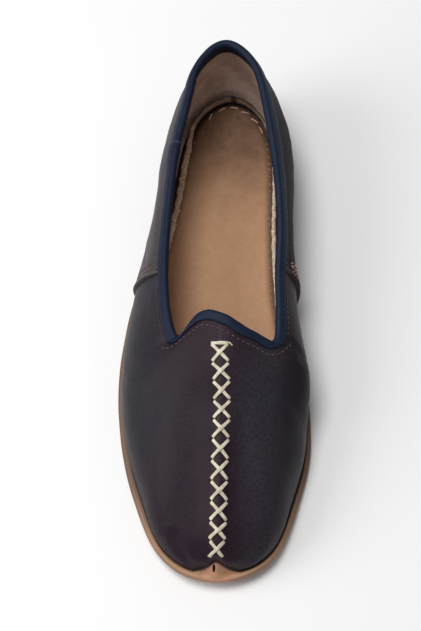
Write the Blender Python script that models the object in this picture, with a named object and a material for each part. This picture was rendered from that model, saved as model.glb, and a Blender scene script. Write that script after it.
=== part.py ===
"""A right-foot Turkish yemeni: a turned leather slip-on with a rolled collar, on a flat leather sole.

Blender 4.5, metres, +Z up. The toe points along -Y, the inner (big toe) side is +X, and the shoe
stands on the floor with the origin under the middle of its footprint. Sizes below are in millimetres
and are turned into metres where the meshes are made.
"""

import math

import bmesh
import bpy
import numpy as np

MM = 0.001

# Driving sizes of the shoe, which is a European 42
LENGTH = 289.0
BALL_WIDTH = 103.6
BACK_HEIGHT = 66.5  # floor to the cut edge at the back of the collar
INSTEP_HEIGHT = 59.5  # floor to the vamp's ridge at the throat

# The sole, and how it is bent
SOLE_THICKNESS = 5.0
HEEL_THICKNESS = 7.0
TOE_SPRING = 6.0
TOE_SPRING_START = -74.0  # the forefoot is flat on the floor behind this line
WAIST_FRONT = -22.0
HEEL_FRONT = 56.0
HEEL_BREAST = 64.0
SOLE_EDGE_ROUND = 0.9

# Leather thicknesses
WALL = 1.8
QUARTER_LAP = 1.3  # the quarter leather that lies over the vamp's rear ends
QUARTER_LAP_AT_COLLAR = 0.4
BINDING_LEATHER = 1.1
BINDING_DEPTH = 5.2
INSOLE_THICKNESS = 2.0
FIT_GAP = 0.3  # between two pieces that touch

# The beak: the sole's leather, drawn up into a cleft at the toe
BEAK_HALF_WIDTH = 13.0
BEAK_RISE = 8.5
BEAK_SETBACK = 4.6
BEAK_DEPTH = 3.2

# The sole seam's turned-in edge, which the insole stops short of
SEAM_ROLL = 2.6
INSOLE_TOE_CLEARANCE = 7.0

HALF_LENGTH = LENGTH / 2
HALF_BALL = BALL_WIDTH / 2

# One row for each rib of the upper, from the back round the outer side to the toe and home along the
# inner side. A rib climbs from the sole seam to the collar's line.
#   foot: where it starts, across (share of the half ball width) and along (share of the half length)
#   top: where it ends, across and along, and its height in millimetres
#   rise, swell: how steeply it leaves the sole, and how far it bellies out there
#   reach, drop: how far it runs out from its top end, and falls
#   margin: how far the sole's edge stands out beyond the foot
RIB_COLUMNS = "foot_x foot_y top_x top_y top_z rise swell reach drop margin".split()
RIBS = {
    "back": (0.127, 0.970, 0.114, 0.981, BACK_HEIGHT, 20, 4.0, 3.0, 18, 2.8),
    "outer back corner": (-0.185, 0.915, -0.150, 0.898, BACK_HEIGHT - 0.5, 19, 4.5, 5, 18, 2.8),
    "outer heel": (-0.405, 0.775, -0.255, 0.775, BACK_HEIGHT - 2.5, 18, 7, 9.5, 18, 2.8),
    "outer heel front": (-0.500, 0.567, -0.374, 0.567, BACK_HEIGHT - 6, 17, 9, 10.5, 16, 2.9),
    "outer waist back": (-0.600, 0.346, -0.440, 0.346, BACK_HEIGHT - 10.5, 17, 7, 9, 15, 3.8),
    "outer waist": (-0.705, 0.185, -0.470, 0.175, BACK_HEIGHT - 13.5, 17, 6.5, 9, 13, 4.4),
    "outer seam": (-0.792, 0.075, -0.472, 0.055, BACK_HEIGHT - 15.2, 18, 6, 10.5, 12, 4.8),
    "outer instep": (-0.884, -0.110, -0.432, -0.100, BACK_HEIGHT - 17.3, 20, 5.5, 14, 11, 4.8),
    "outer joint": (-0.915, -0.290, -0.350, -0.188, BACK_HEIGHT - 19, 22, 4.5, 20, 9, 4.4),
    "outer forefoot": (-0.886, -0.430, -0.245, -0.182, INSTEP_HEIGHT - 9, 22, 4, 30, 9, 4.0),
    "outer toes": (-0.808, -0.570, -0.140, -0.148, INSTEP_HEIGHT - 4.5, 21, 3.5, 38, 12, 4.2),
    "outer toe": (-0.655, -0.735, -0.045, -0.131, INSTEP_HEIGHT - 1, 20, 3, 52, 17, 4.8),
    "outer toe corner": (-0.395, -0.900, 0.043, -0.134, INSTEP_HEIGHT + 0.6, 19, 2.5, 66, 22, 5.2),
    "toe": (0.098, -0.966, 0.135, -0.145, INSTEP_HEIGHT + 0.8, 19, 2, 74, 25, 5.2),
    "inner toe corner": (0.585, -0.893, 0.239, -0.163, INSTEP_HEIGHT - 0.3, 19, 2.5, 66, 22, 5.0),
    "inner toe": (0.790, -0.737, 0.357, -0.185, INSTEP_HEIGHT - 3.3, 20, 3, 52, 17, 4.2),
    "inner toes": (0.918, -0.570, 0.479, -0.204, INSTEP_HEIGHT - 7.2, 21, 3.5, 38, 12, 3.2),
    "inner joint": (0.935, -0.410, 0.600, -0.220, INSTEP_HEIGHT - 10.7, 22, 4, 28, 10, 3.4),
    "inner instep": (0.893, -0.275, 0.690, -0.208, BACK_HEIGHT - 19.3, 22, 4.5, 20, 9, 3.8),
    "inner arch": (0.822, -0.138, 0.718, -0.120, BACK_HEIGHT - 18, 20, 7, 13, 10, 3.6),
    "inner seam": (0.740, 0.010, 0.714, 0.060, BACK_HEIGHT - 15.5, 18, 9, 10, 12, 3.6),
    "inner waist": (0.692, 0.200, 0.731, 0.207, BACK_HEIGHT - 12.5, 17, 9, 6.5, 14, 2.6),
    "inner waist back": (0.683, 0.400, 0.705, 0.400, BACK_HEIGHT - 9, 17, 9.5, 8, 15, 2.8),
    "inner heel front": (0.687, 0.588, 0.640, 0.588, BACK_HEIGHT - 5.5, 17, 9.5, 9, 16, 2.9),
    "inner heel": (0.645, 0.761, 0.553, 0.764, BACK_HEIGHT - 2.5, 18, 6.5, 8, 18, 2.8),
    "inner back corner": (0.428, 0.915, 0.390, 0.917, BACK_HEIGHT - 0.5, 19, 4.5, 5, 18, 2.8),
}

# Columns of faces from one rib to the next along the seam, counted by stretch of the shoe
STRETCHES = (
    ("back", "outer seam", 20),
    ("outer seam", "outer joint", 9),
    ("outer joint", "outer end of the cleft", 19),
    ("outer end of the cleft", "inner end of the cleft", 16),
    ("inner end of the cleft", "inner joint", 17),
    ("inner joint", "inner seam", 10),
    ("inner seam", "back", 19),
)
WALL_ROWS = 9
SEAM_STEP = 0.6  # the quarter's cut edge, seen from the side

SOLE_STATIONS = 36
HEEL_STATIONS = 34

LEATHERS = {
    "upper_leather": ((0.050, 0.036, 0.040), 0.42),
    "binding_leather": ((0.022, 0.038, 0.066), 0.50),
    "sole_leather": ((0.36, 0.20, 0.11), 0.62),
    "heel_leather": ((0.22, 0.12, 0.07), 0.60),
    "insole_leather": ((0.50, 0.34, 0.22), 0.85),
}


class Spline:
    """A smooth cubic through rows of values at rising knots, open or closed into a loop."""

    def __init__(self, knots, rows, closed=False):
        self.knots = np.asarray(knots, float)
        self.rows = np.asarray(rows, float)
        self.closed = closed
        gaps = np.diff(self.knots)
        count = len(self.rows)
        system = np.zeros((count, count))
        right = np.zeros_like(self.rows)
        for i in range(count):
            if not closed and i in (0, count - 1):
                near = 1 if i == 0 else count - 2
                system[i, i], system[i, near] = 2, 1
                right[i] = 3 * (self.rows[max(i, near)] - self.rows[min(i, near)]) / gaps[min(i, near)]
                continue
            before, after = gaps[i - 1], gaps[i]
            system[i, i] = 2 * (before + after)
            system[i, i - 1] += after
            system[i, (i + 1) % count] += before
            rise_before = (self.rows[i] - self.rows[i - 1]) / before
            rise_after = (self.rows[(i + 1) % count] - self.rows[i]) / after
            right[i] = 3 * (after * rise_before + before * rise_after)
        self.slopes = np.linalg.solve(system, right)

    def __call__(self, where):
        where = np.atleast_1d(np.asarray(where, float))
        if self.closed:
            where = self.knots[0] + (where - self.knots[0]) % (self.knots[-1] - self.knots[0])
        count = len(self.rows)
        cell = np.clip(np.searchsorted(self.knots, where, "right") - 1, 0, len(self.knots) - 2)
        width = (self.knots[cell + 1] - self.knots[cell])[:, None]
        t = (where - self.knots[cell])[:, None] / width
        after = (cell + 1) % count
        return (
            self.rows[cell] * (1 + 2 * t) * (1 - t) ** 2
            + self.slopes[cell] * width * t * (1 - t) ** 2
            + self.rows[after] * t * t * (3 - 2 * t)
            + self.slopes[after] * width * t * t * (t - 1)
        )


def smooth_step(low, high, value):
    t = np.clip((value - low) / (high - low), 0, 1)
    return t * t * (3 - 2 * t)


def unit(vectors):
    return vectors / np.linalg.norm(vectors, axis=-1, keepdims=True)


def chord_knots(points, closed):
    points = np.asarray(points, float)
    if closed:
        points = np.vstack([points, points[:1]])
    return np.concatenate([[0], np.cumsum(np.linalg.norm(np.diff(points, axis=0), axis=1))])


def rib_spline():
    """The ribs' values in millimetres, as one closed spline along the sole seam."""
    rows = np.array(list(RIBS.values()), float)
    rows[:, [0, 2]] *= HALF_BALL
    rows[:, [1, 3]] *= HALF_LENGTH
    return Spline(chord_knots(rows[:, :2], closed=True), rows, closed=True)


RIB = rib_spline()
PERIMETER = RIB.knots[-1]
COLUMN = {name: i for i, name in enumerate(RIB_COLUMNS)}
STATION = dict(zip(RIBS, RIB.knots))
STATION["outer end of the cleft"] = STATION["toe"] - BEAK_HALF_WIDTH
STATION["inner end of the cleft"] = STATION["toe"] + BEAK_HALF_WIDTH


def underside(y):
    """Height of the sole's underside: heel, waist, flat forefoot and toe spring."""
    heel = HEEL_THICKNESS * smooth_step(WAIST_FRONT, HEEL_FRONT, y)
    forward = np.clip((TOE_SPRING_START - y) / (HALF_LENGTH + TOE_SPRING_START), 0, None)
    return heel + TOE_SPRING * forward**2


def beak_share(u):
    """1 at the middle of the toe, falling to 0 where the cleft ends."""
    off = np.abs((u - STATION["toe"] + PERIMETER / 2) % PERIMETER - PERIMETER / 2)
    return np.cos(np.clip(off / BEAK_HALF_WIDTH, 0, 1) * math.pi / 2) ** 2


def outward(u):
    """The seam line's outward direction in plan."""
    along = RIB(u + 0.5)[:, :2] - RIB(u - 0.5)[:, :2]
    return unit(np.stack([along[:, 1], -along[:, 0]], axis=1))


def seam_line(u, out=0.0, lift=0.0, cleft=True):
    """Points on the sole seam, moved out and up. The cleft draws them back and up at the toe."""
    u = np.atleast_1d(np.asarray(u, float))
    normal = outward(u)
    share = beak_share(u) if cleft else np.zeros_like(u)
    plan = RIB(u)[:, :2] + normal * (out - BEAK_SETBACK * share)[:, None]
    height = underside(plan[:, 1]) + SOLE_THICKNESS + lift + BEAK_RISE * share
    return np.column_stack([plan, height])


def wall_point(u, v):
    """The upper's outer face: rib u at share v of its way up, as a cubic with four handles."""
    u, v = np.broadcast_arrays(np.atleast_1d(np.asarray(u, float)), np.asarray(v, float))
    values = RIB(u)
    column = {name: values[:, i] for name, i in COLUMN.items()}
    foot = seam_line(u, lift=FIT_GAP)
    top = values[:, 2:5]
    normal = outward(u)
    across = foot[:, :2] - top[:, :2]
    far = smooth_step(18, 48, np.linalg.norm(across, axis=1))[:, None]
    away = unit(normal * (1 - far) + unit(across + 1e-9) * far)
    up = np.array([0.0, 0.0, 1.0])
    share = beak_share(u)
    rise = column["rise"] - 0.45 * BEAK_RISE * share
    flat_normal = np.column_stack([normal, np.zeros(len(u))])
    flat_away = np.column_stack([away, np.zeros(len(u))])
    first = foot + flat_normal * column["swell"][:, None] + up * rise[:, None]
    second = top + flat_away * column["reach"][:, None] - up * column["drop"][:, None]
    t = v[:, None]
    return (
        foot * (1 - t) ** 3
        + first * 3 * t * (1 - t) ** 2
        + second * 3 * t * t * (1 - t)
        + top * t**3
    )


def wall_columns():
    """The ribs that the mesh follows, and a flag for those that the quarter covers."""
    places, covered = [], []
    for start, end, count in STRETCHES:
        first, last = STATION[start], STATION[end] or PERIMETER
        step_before = SEAM_STEP if start == "inner seam" else 0
        step_after = SEAM_STEP if end == "outer seam" else 0
        places.append(np.linspace(first + step_before, last - step_after, count, endpoint=False))
        covered += [float("back" in (start, end))] * count
        if step_after:
            places.append([last - step_after])
            covered.append(1.0)
        if start == "inner joint":
            places.append([last])
            covered.append(0.0)
    return np.concatenate(places), np.array(covered)


def wall_grid():
    """Outer face points and outward normals, by row and column. The last three rows lie in the binding."""
    u, covered = wall_columns()
    edge = wall_point(u, 1.0)
    below = wall_point(u, 0.99)
    pace = np.linalg.norm(edge - below, axis=1) / 0.01
    tangent = unit(np.roll(edge, -1, axis=0) - np.roll(edge, 1, axis=0))
    crossing = np.linalg.norm(np.cross(unit(edge - below), tangent), axis=1)
    bound = BINDING_DEPTH / pace / np.clip(crossing, 0.66, 1)
    shares = [(row / WALL_ROWS) ** 1.25 for row in range(WALL_ROWS + 1)]
    levels = [(1 - bound) * share for share in shares] + [1 - bound / 2, np.ones_like(u)]
    grid = [wall_point(u, level) for level in levels]
    grid = np.array(grid)
    around = np.roll(grid, -1, axis=1) - np.roll(grid, 1, axis=1)
    climb = np.gradient(grid, axis=0)
    normals = unit(np.cross(around, climb))
    if np.median(np.sum(normals[3, :, :2] * outward(u), axis=1)) < 0:
        normals = -normals
    rows = np.arange(len(levels))[:, None] / (len(levels) - 1)
    lap_here = QUARTER_LAP + (QUARTER_LAP_AT_COLLAR - QUARTER_LAP) * smooth_step(0.6, 1, rows)
    return grid, normals, covered[None, :] * lap_here, tangent


def make_material(name):
    colour, roughness = LEATHERS[name]
    material = bpy.data.materials.new(name)
    material.use_nodes = True
    shader = material.node_tree.nodes["Principled BSDF"]
    shader.inputs["Base Color"].default_value = (*colour, 1)
    shader.inputs["Roughness"].default_value = roughness
    shader.inputs["Metallic"].default_value = 0
    material.diffuse_color = (*colour, 1)
    return material


def add_object(name, data, collection, material):
    piece = bpy.data.objects.new(name, data)
    data.materials.append(material)
    collection.objects.link(piece)
    return piece


def loft(name, rings, collection, material, wrap):
    """A closed solid through closed rings of points. It wraps round to the first ring, or each end
    ring is filled by rungs between its two sides, which start at the toe and meet at the heel."""
    mesh = bmesh.new()
    layers = [[mesh.verts.new(point * MM) for point in ring] for ring in rings]
    count = len(layers[0])
    pairs = list(zip(layers, layers[1:] + layers[:1])) if wrap else list(zip(layers, layers[1:]))
    for lower, upper in pairs:
        for i in range(count):
            j = (i + 1) % count
            mesh.faces.new((lower[i], lower[j], upper[j], upper[i]))
    if not wrap:
        for ring in (layers[0], layers[-1]):
            for i in range(count // 2):
                rung = [ring[i], ring[i + 1], ring[-i - 1], ring[-i]]
                corners = list(dict.fromkeys(rung))
                mesh.faces.new(corners)
    bmesh.ops.recalc_face_normals(mesh, faces=mesh.faces)
    if mesh.calc_volume(signed=True) < 0:
        bmesh.ops.reverse_faces(mesh, faces=mesh.faces)
    data = bpy.data.meshes.new(name)
    mesh.to_mesh(data)
    mesh.free()
    piece = add_object(name, data, collection, material)
    data.shade_smooth()
    data.set_sharp_from_angle(angle=math.radians(40))
    return piece


def make_upper(collection, material):
    grid, normals, lap, _ = wall_grid()
    outer = grid + normals * lap[:, :, None]
    inner = grid - normals * WALL
    inner[0, :, 2] = grid[0, :, 2]
    outer[0, :, 2] = grid[0, :, 2]
    rings = [*outer, *inner[::-1]]
    return loft("upper", rings, collection, material, wrap=True)


def make_binding(collection, material):
    """The strip of leather folded over the collar's cut edge, clear of the wall on both sides."""
    grid, normals, lap, tangent = wall_grid()
    outer_inside = FIT_GAP + lap[-3:, :, None]
    inner_inside = FIT_GAP + WALL
    outside = grid[-3:] + normals[-3:] * (outer_inside + BINDING_LEATHER)
    outside_face = grid[-3:] + normals[-3:] * outer_inside
    inside = grid[-3:] - normals[-3:] * (inner_inside + BINDING_LEATHER)
    inside_face = grid[-3:] - normals[-3:] * inner_inside
    side = normals[-1]
    crest = unit(np.cross(side, tangent))
    crest *= np.sign(np.sum(crest * (grid[-1] - grid[-2]), axis=1))[:, None]
    middle = (outside[2] + inside[2]) / 2
    half = np.linalg.norm(outside[2] - inside[2], axis=1)[:, None] / 2
    fold = []
    for angle in (36, 72, 108, 144):
        turn = math.radians(angle)
        fold.append(middle + side * half * math.cos(turn) + crest * (FIT_GAP + half * 0.8 * math.sin(turn)))
    lid_out = outside_face[2] + crest * FIT_GAP
    lid_in = inside_face[2] + crest * FIT_GAP
    rings = [
        outside[0], outside[1], outside[2], *fold, inside[2], inside[1], inside[0],
        inside_face[0], inside_face[1], lid_in, lid_out, outside_face[1], outside_face[0],
    ]  # fmt: skip
    return loft("collar_binding", rings, collection, material, wrap=True)


def side_stations():
    """Places along the seam: the outer side from toe to heel, then the inner side back to the toe. Each
    has a partner across the shoe that is as far along."""
    toe = STATION["toe"]
    cleft_columns = dict((start, count) for start, _, count in STRETCHES)["outer end of the cleft"]
    cleft = np.linspace(0, BEAK_HALF_WIDTH, cleft_columns // 2 + 1)
    way = np.linspace(0, 1, SOLE_STATIONS + 1)[1:]
    shares = 1 - (way + (1 - np.cos(math.pi * way)) / 2) / 2
    outer = (toe - BEAK_HALF_WIDTH) * shares
    inner_side = np.linspace(toe, PERIMETER, 2000)
    reached = np.maximum.accumulate(RIB(inner_side)[:, 1])
    inner = np.interp(RIB(outer[:-1])[:, 1], reached, inner_side)
    return np.concatenate([toe - cleft, outer, inner[::-1], (toe + cleft)[:0:-1]])


def make_outsole(collection, material):
    """One thick leather whose rings run from under the foot, round the edge, to the insole's bed."""
    u = side_stations()
    margin = RIB(u)[:, COLUMN["margin"]]
    share = beak_share(u)

    def ring(out, drop, spread=1.0):
        plan = seam_line(u, out=out, cleft=False)
        plan[:, 2] += -SOLE_THICKNESS + drop * spread
        return plan

    under_in = ring(margin - 6, 0)
    under = ring(margin - SOLE_EDGE_ROUND, 0)
    edge_low = ring(margin, SOLE_EDGE_ROUND)
    edge_high = ring(margin, SOLE_THICKNESS - SOLE_EDGE_ROUND)
    edge_top = ring(margin - SOLE_EDGE_ROUND, SOLE_THICKNESS)
    slope = ring(margin * 0.45, SOLE_THICKNESS)
    beak_foot = seam_line(u, out=0.25)
    slope += (beak_foot - slope) * (0.55 * share)[:, None]
    slope[:, 2] -= 1.0 * share
    beak_back = seam_line(u, out=-(WALL + 0.4))
    bed = ring(-(WALL + 0.8) - (BEAK_SETBACK + BEAK_DEPTH) * share, SOLE_THICKNESS)
    rings = [under_in, under, edge_low, edge_high, edge_top, slope, beak_foot, beak_back, bed]
    return loft("outsole", rings, collection, material, wrap=False)


def make_insole(collection, material):
    u = side_stations()
    inset = WALL + SEAM_ROLL + INSOLE_TOE_CLEARANCE * np.sqrt(beak_share(u))
    rings = []
    for extra, height in ((0.5, 0), (0, 0.5), (0, INSOLE_THICKNESS - 0.5), (0.6, INSOLE_THICKNESS)):
        rings.append(seam_line(u, out=-(inset + extra), lift=FIT_GAP + height, cleft=False))
    return loft("insole", rings, collection, material, wrap=False)


def make_heel(collection, material):
    """A low heel cut to the sole's outline, with a shallow hollow across its front."""
    outer_side = np.linspace(STATION["outer waist"], 0, 200)
    inner_side = np.linspace(STATION["inner waist"] - PERIMETER, 0, 200)
    outer = np.interp(HEEL_BREAST, RIB(outer_side)[:, 1], outer_side)
    inner = np.interp(HEEL_BREAST, RIB(inner_side)[:, 1], inner_side)
    u = np.linspace(inner, outer, HEEL_STATIONS)
    plan = seam_line(u, out=RIB(u)[:, COLUMN["margin"]] - 0.8, cleft=False)[:, :2]
    first, last = plan[-1], plan[0]
    for share in np.linspace(0, 1, 9)[1:-1]:
        point = first + (last - first) * share
        hollow = 4.5 * (1 - (2 * share - 1) ** 2)
        plan = np.vstack([plan, point + (0, hollow)])
    curve = bpy.data.curves.new("heel", "CURVE")
    curve.dimensions = "2D"
    curve.fill_mode = "BOTH"
    curve.extrude = (HEEL_THICKNESS - FIT_GAP) / 2 * MM
    outline = curve.splines.new("POLY")
    outline.points.add(len(plan) - 1)
    for point, (x, y) in zip(outline.points, plan):
        point.co = (x * MM, y * MM, 0, 1)
    outline.use_cyclic_u = True
    piece = add_object("heel", curve, collection, material)
    piece.location.z = (HEEL_THICKNESS - FIT_GAP) / 2 * MM
    return piece


def main():
    for existing in list(bpy.data.objects):
        bpy.data.objects.remove(existing)
    shoe = bpy.data.collections.new("yemeni_shoe")
    bpy.context.scene.collection.children.link(shoe)
    leather = {name: make_material(name) for name in LEATHERS}
    make_outsole(shoe, leather["sole_leather"])
    make_heel(shoe, leather["heel_leather"])
    make_insole(shoe, leather["insole_leather"])
    make_upper(shoe, leather["upper_leather"])
    make_binding(shoe, leather["binding_leather"])


main()
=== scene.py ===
# A right-foot Turkish yemeni of waxed leather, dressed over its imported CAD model.
# Lengths are in millimetres until they reach a mesh. The toe is at -y, the inner side at +x.
import math

import bpy
import numpy as np
from mathutils import Matrix, Vector, noise
from mathutils.bvhtree import BVHTree


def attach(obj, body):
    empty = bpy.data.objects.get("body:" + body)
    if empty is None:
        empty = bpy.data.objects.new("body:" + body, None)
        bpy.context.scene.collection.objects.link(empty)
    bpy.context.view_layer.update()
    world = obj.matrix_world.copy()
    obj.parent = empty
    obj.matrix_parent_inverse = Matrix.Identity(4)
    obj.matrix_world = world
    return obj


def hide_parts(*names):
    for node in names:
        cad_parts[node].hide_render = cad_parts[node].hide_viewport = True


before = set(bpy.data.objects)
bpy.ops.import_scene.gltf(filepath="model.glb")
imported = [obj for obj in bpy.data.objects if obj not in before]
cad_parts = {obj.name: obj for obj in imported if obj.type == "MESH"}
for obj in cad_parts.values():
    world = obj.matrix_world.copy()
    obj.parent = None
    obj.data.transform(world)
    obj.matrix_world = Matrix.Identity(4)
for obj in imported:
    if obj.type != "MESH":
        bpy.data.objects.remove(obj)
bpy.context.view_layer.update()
mm = 0.001

# ---- the shoe's form, in the part's own sizes ----
form = {
    "length": 289.0,
    "ballWidth": 103.6,
    "backHeight": 66.5,
    "instepHeight": 59.5,
    "soleThickness": 5.0,
    "heelThickness": 7.0,
    "toeSpring": 6.0,
    "toeSpringStart": -74.0,
    "waistFront": -22.0,
    "heelFront": 56.0,
    "heelBreast": 64.0,
    "wall": 1.8,
    "lap": 1.3,
    "lapAtCollar": 0.4,
    "cutEdge": 0.5,  # over how far the quarter's step is spread
    "bindingDepth": 3.2,
    "bindingDepthAtHeel": 4.6,
    "bindingDepthInside": 6.4,
    "cleftHalfWidth": 12.0,
    "cleftRise": 8.5,
    "cleftSetback": 6.3,
    "gap": 0.3,
}
back, instep = form["backHeight"], form["instepHeight"]
# each rib: foot across and along, top across and along, as shares of half the width or length,
# then in mm the top's height, the handles (rise, swell, reach, drop) and the sole's margin
ribs = {
    "back": (0.127, 0.970, 0.114, 0.981, back, 20, 4.0, 3.0, 18, 2.8),
    "outerBackCorner": (-0.185, 0.915, -0.150, 0.898, back - 0.5, 19, 4.5, 5, 18, 2.8),
    "outerHeel": (-0.405, 0.775, -0.255, 0.775, back - 2.5, 18, 6, 9, 18, 2.8),
    "outerHeelFront": (-0.500, 0.567, -0.374, 0.567, back - 6, 17, 7.6, 9.5, 16, 2.9),
    "outerWaistBack": (-0.600, 0.346, -0.440, 0.346, back - 10.5, 17, 6.2, 8.6, 15, 3.8),
    "outerWaist": (-0.705, 0.185, -0.470, 0.175, back - 13.5, 17, 6.5, 9, 13, 4.4),
    "outerSeam": (-0.792, 0.075, -0.472, 0.055, back - 15.2, 18, 6, 10.5, 12, 4.8),
    "outerInstep": (-0.884, -0.110, -0.432, -0.100, back - 17.3, 20, 5.5, 14, 11, 4.8),
    "outerJoint": (-0.915, -0.290, -0.338, -0.197, back - 19, 22, 4.5, 20, 9, 4.4),
    "outerForefoot": (-0.886, -0.430, -0.243, -0.189, instep - 9, 22, 4, 30, 9, 4.0),
    "outerToes": (-0.808, -0.570, -0.140, -0.154, instep - 4.5, 21, 3.5, 38, 12, 4.2),
    "outerToe": (-0.655, -0.735, -0.045, -0.138, instep - 1, 20, 3, 52, 17, 4.1),
    "outerToeCorner": (-0.395, -0.911, 0.043, -0.142, instep + 0.6, 19, 2.5, 66, 22, 3.4),
    "toe": (0.085, -0.977, 0.135, -0.153, instep + 0.8, 19, 2, 74, 25, 3.7),
    "innerToeCorner": (0.590, -0.906, 0.239, -0.169, instep - 0.3, 19, 2.5, 66, 22, 2.6),
    "innerToe": (0.790, -0.740, 0.357, -0.189, instep - 3.3, 20, 3, 52, 17, 3.2),
    "innerToes": (0.918, -0.570, 0.479, -0.204, instep - 7.2, 21, 3.5, 38, 12, 3.2),
    "innerJoint": (0.935, -0.410, 0.600, -0.220, instep - 10.7, 22, 4, 28, 10, 3.4),
    "innerInstep": (0.893, -0.275, 0.690, -0.208, back - 19.3, 22, 4.5, 20, 9, 3.8),
    "innerArch": (0.822, -0.138, 0.718, -0.120, back - 18, 20, 7, 13, 10, 3.6),
    "innerSeam": (0.740, 0.010, 0.714, 0.060, back - 15.5, 18, 9, 10, 12, 3.6),
    "innerWaist": (0.692, 0.200, 0.731, 0.207, back - 12.5, 17, 9, 6.5, 14, 2.6),
    "innerWaistBack": (0.683, 0.400, 0.705, 0.400, back - 9, 17, 9.5, 8, 15, 2.8),
    "innerHeelFront": (0.687, 0.588, 0.640, 0.588, back - 5.5, 17, 10.4, 10, 16, 2.9),
    "innerHeel": (0.645, 0.761, 0.553, 0.764, back - 2.5, 18, 7.6, 9, 18, 2.8),
    "innerBackCorner": (0.428, 0.915, 0.390, 0.917, back - 0.5, 19, 4.5, 5, 18, 2.8),
}


class ClosedCurve:
    # a smooth cubic through rows of values, closed into a loop
    def __init__(self, knots, rows):
        self.knots, self.rows = knots, rows
        gaps, count = np.diff(knots), len(rows)
        system, right = np.zeros((count, count)), np.zeros_like(rows)
        for i in range(count):
            before, after, following = gaps[i - 1], gaps[i], (i + 1) % count
            system[i, i] = 2 * (before + after)
            system[i, i - 1] += after
            system[i, following] += before
            riseBefore = (rows[i] - rows[i - 1]) / before
            riseAfter = (rows[following] - rows[i]) / after
            right[i] = 3 * (after * riseBefore + before * riseAfter)
        self.slopes = np.linalg.solve(system, right)

    def at(self, where):
        where = np.atleast_1d(np.asarray(where, float)) % self.knots[-1]
        cell = np.clip(np.searchsorted(self.knots, where, "right") - 1, 0, len(self.rows) - 1)
        width = (self.knots[cell + 1] - self.knots[cell])[:, None]
        t = (where - self.knots[cell])[:, None] / width
        after = (cell + 1) % len(self.rows)
        return (
            self.rows[cell] * (1 + 2 * t) * (1 - t) ** 2
            + self.slopes[cell] * width * t * (1 - t) ** 2
            + self.rows[after] * t * t * (3 - 2 * t)
            + self.slopes[after] * width * t * t * (t - 1)
        )


def unit(vectors):
    return vectors / np.linalg.norm(vectors, axis=-1, keepdims=True)


def smoothStep(low, high, value):
    t = np.clip((value - low) / (high - low), 0, 1)
    return t * t * (3 - 2 * t)


ribRows = np.array(list(ribs.values()), float)
ribRows[:, [0, 2]] *= form["ballWidth"] / 2
ribRows[:, [1, 3]] *= form["length"] / 2
loopOfFeet = np.vstack([ribRows[:, :2], ribRows[:1, :2]])
ribKnots = np.concatenate([[0], np.cumsum(np.linalg.norm(np.diff(loopOfFeet, axis=0), axis=1))])
ribCurve = ClosedCurve(ribKnots, ribRows)
perimeter = ribKnots[-1]
station = dict(zip(ribs, ribKnots))  # where each rib stands, in mm along the sole seam


def underside(y):
    heel = form["heelThickness"] * smoothStep(form["waistFront"], form["heelFront"], y)
    reach = form["length"] / 2 + form["toeSpringStart"]
    forward = np.clip((form["toeSpringStart"] - y) / reach, 0, None)
    return heel + form["toeSpring"] * forward**2


def fromToe(u):
    return (np.asarray(u, float) - station["toe"] + perimeter / 2) % perimeter - perimeter / 2


def cleftShare(u):
    # concave flanks that run up to a soft point
    reach = 1 - np.clip(np.abs(fromToe(u)) / form["cleftHalfWidth"], 0, 1)
    return reach**1.5 * (1 - 0.12 * np.exp(-((fromToe(u) / 1.1) ** 2)))


def outward(u):
    along = ribCurve.at(u + 0.5)[:, :2] - ribCurve.at(u - 0.5)[:, :2]
    return unit(np.stack([along[:, 1], -along[:, 0]], axis=1))


def seamLine(u, out=0.0, lift=0.0, cleft=True):
    # the seam of sole and upper, on the sole's upper face, moved outwards and up
    u = np.atleast_1d(np.asarray(u, float))
    share = cleftShare(u) if cleft else np.zeros_like(u)
    plan = ribCurve.at(u)[:, :2] + outward(u) * (out - form["cleftSetback"] * share)[:, None]
    height = underside(plan[:, 1]) + form["soleThickness"] + lift + form["cleftRise"] * share
    return np.column_stack([plan, height])


def wallPoint(u, v):
    # the wall before its relief: a Bezier rib at u along the seam, v from the seam to the collar
    u, v = np.broadcast_arrays(np.atleast_1d(np.asarray(u, float)), np.asarray(v, float))
    row = ribCurve.at(u)
    rise, swell, reach, drop = (row[:, i] for i in (5, 6, 7, 8))
    foot, top, normal = seamLine(u, lift=form["gap"]), row[:, 2:5], outward(u)
    across = foot[:, :2] - top[:, :2]
    # a long rib reaches towards its own foot, a short one straight out
    far = smoothStep(18, 48, np.linalg.norm(across, axis=1))[:, None]
    away = unit(normal * (1 - far) + unit(across + 1e-9) * far)
    rise = rise - 0.45 * form["cleftRise"] * cleftShare(u)
    first = foot + np.column_stack([normal * swell[:, None], rise])
    second = top + np.column_stack([away * reach[:, None], -drop])
    t = v[:, None]
    left = 1 - t
    return foot * left**3 + first * 3 * t * left**2 + second * 3 * t * t * left + top * t**3


def wallNormal(u, v):
    v = np.clip(np.broadcast_to(v, np.shape(u)), 0.01, 0.99)
    around = wallPoint(u + 0.4, v) - wallPoint(u - 0.4, v)
    climb = wallPoint(u, v + 0.008) - wallPoint(u, v - 0.008)
    return unit(np.cross(around, climb))


def quarterShare(u):
    # 1 on the quarter and 0 on the vamp, with a steep cut edge between them
    u, edge = np.asarray(u, float) % perimeter, form["cutEdge"]
    outer = 1 - smoothStep(station["outerSeam"] - edge, station["outerSeam"], u)
    return np.maximum(outer, smoothStep(station["innerSeam"], station["innerSeam"] + edge, u))


# ---- Blender helpers ----
def added(operator, **settings):
    # what an add operator makes, alone in the selection
    bpy.ops.object.select_all(action="DESELECT")
    operator(**settings)
    return bpy.context.object


def pickOnly(piece):
    bpy.ops.object.select_all(action="DESELECT")
    piece.select_set(True)
    bpy.context.view_layer.objects.active = piece


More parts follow.
